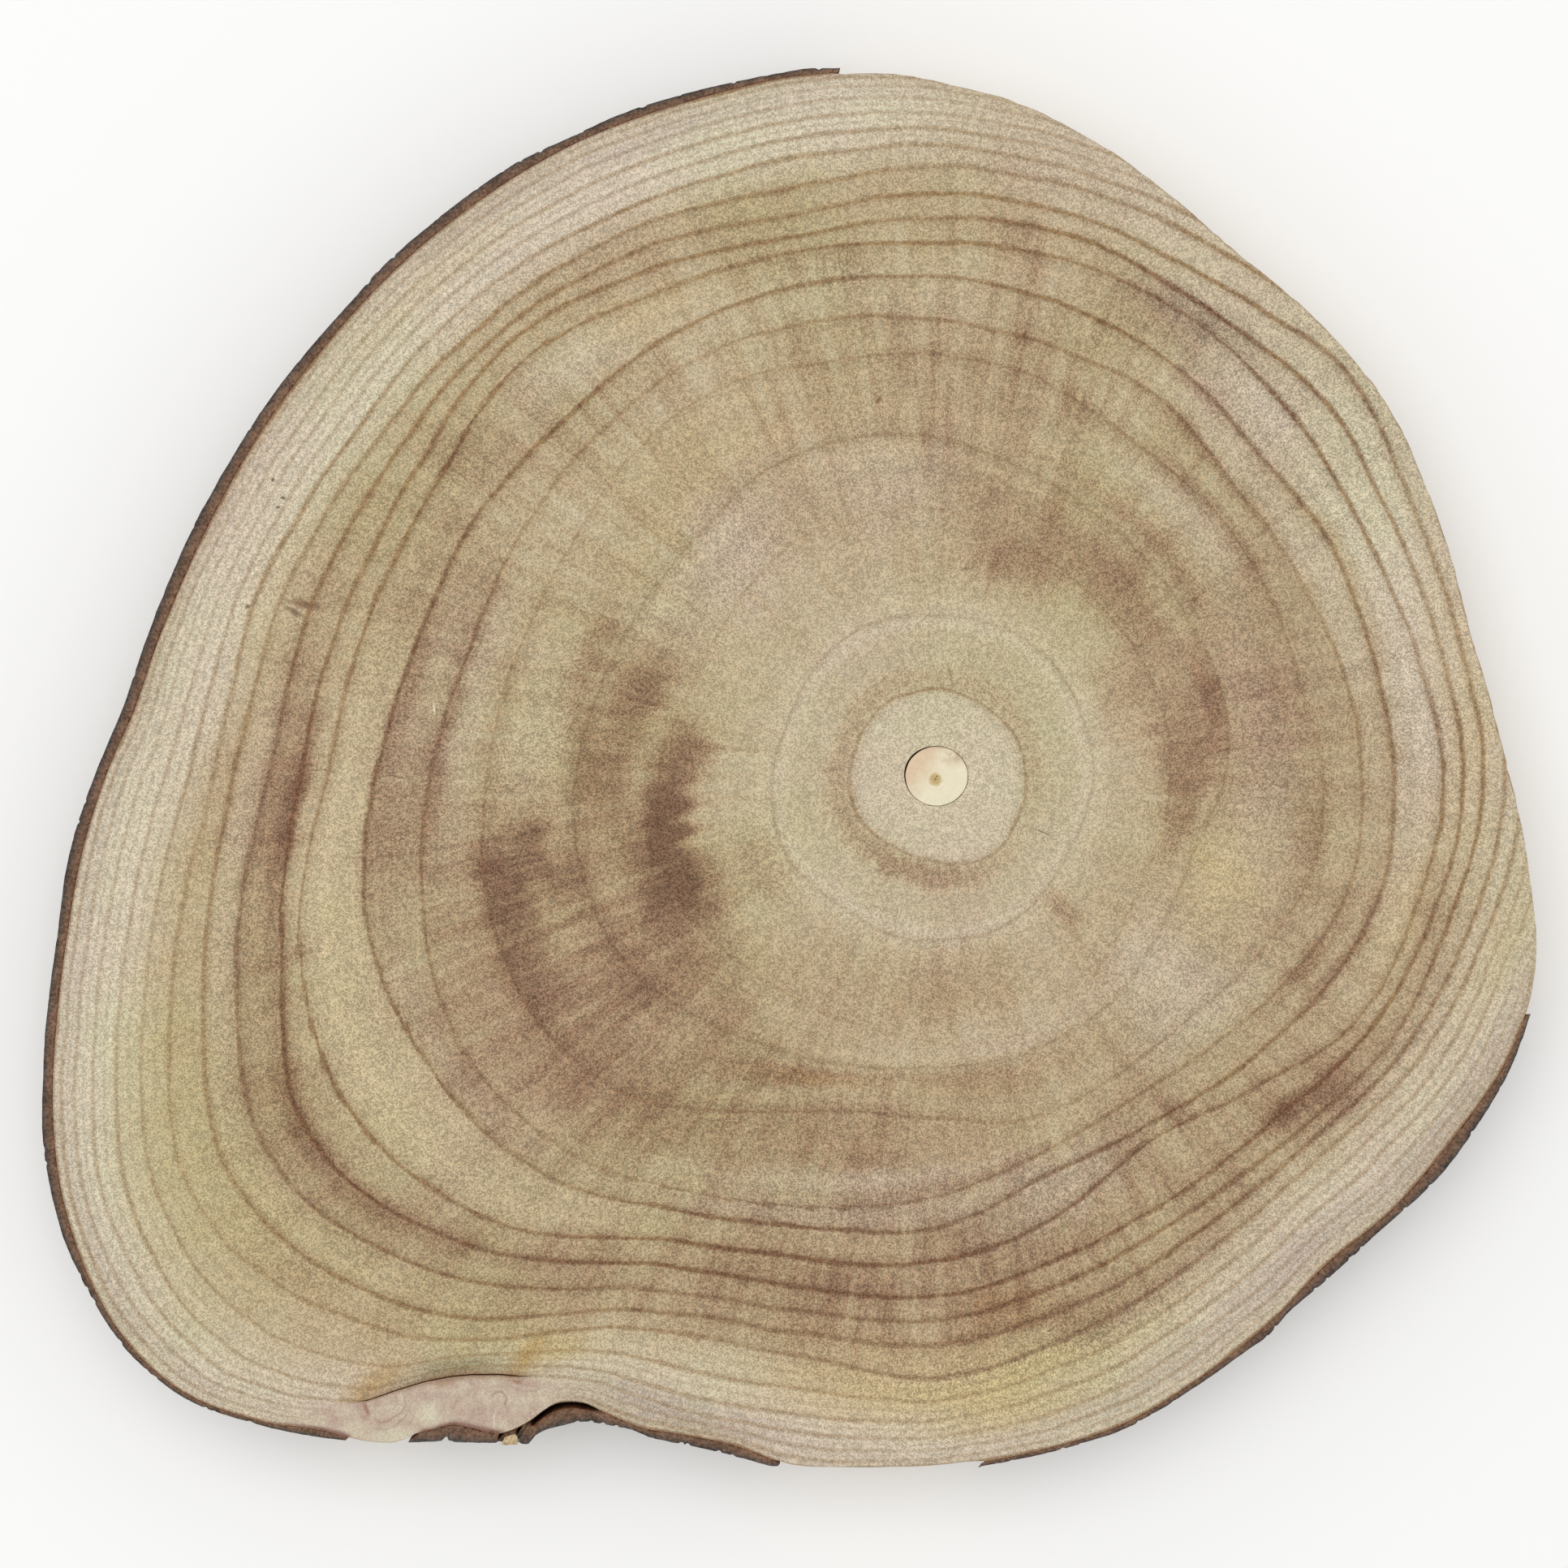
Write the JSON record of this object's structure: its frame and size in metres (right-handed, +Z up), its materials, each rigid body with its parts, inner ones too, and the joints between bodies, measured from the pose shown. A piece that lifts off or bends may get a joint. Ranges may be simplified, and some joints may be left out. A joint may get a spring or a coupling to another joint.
{
  "type": "wood slice",
  "caption": "Flat crosscut slice of a log with off-centre growth rings, a plugged pith hole, bark on parts of its rim and a healed wound.",
  "frame": {"origin": "middle of the footprint, on the lower sawn face", "axes": "+Z up along the log's grain, from the lower sawn face to the upper one; +X along the slice's longest width, towards the bare side nearest the pith; +Y away from the healed wound"},
  "size_m": [0.341, 0.3194, 0.03],
  "materials": {
    "wood": "dry, finely sanded end grain, yellowish tan with brown heart stain",
    "bark": "dry, rough, reddish brown where cut and grey-brown outside",
    "pale_wood": "fresh, smooth, cream-coloured"
  },
  "bodies": {
    "root": {"wood_disc": "wood", "pith_plug": "pale_wood", "bark_left": "bark", "bark_wound": "bark", "bark_flap": "bark", "bark_lower_right": "bark", "wood_splinter": "pale_wood"}
  },
  "joints": []
}
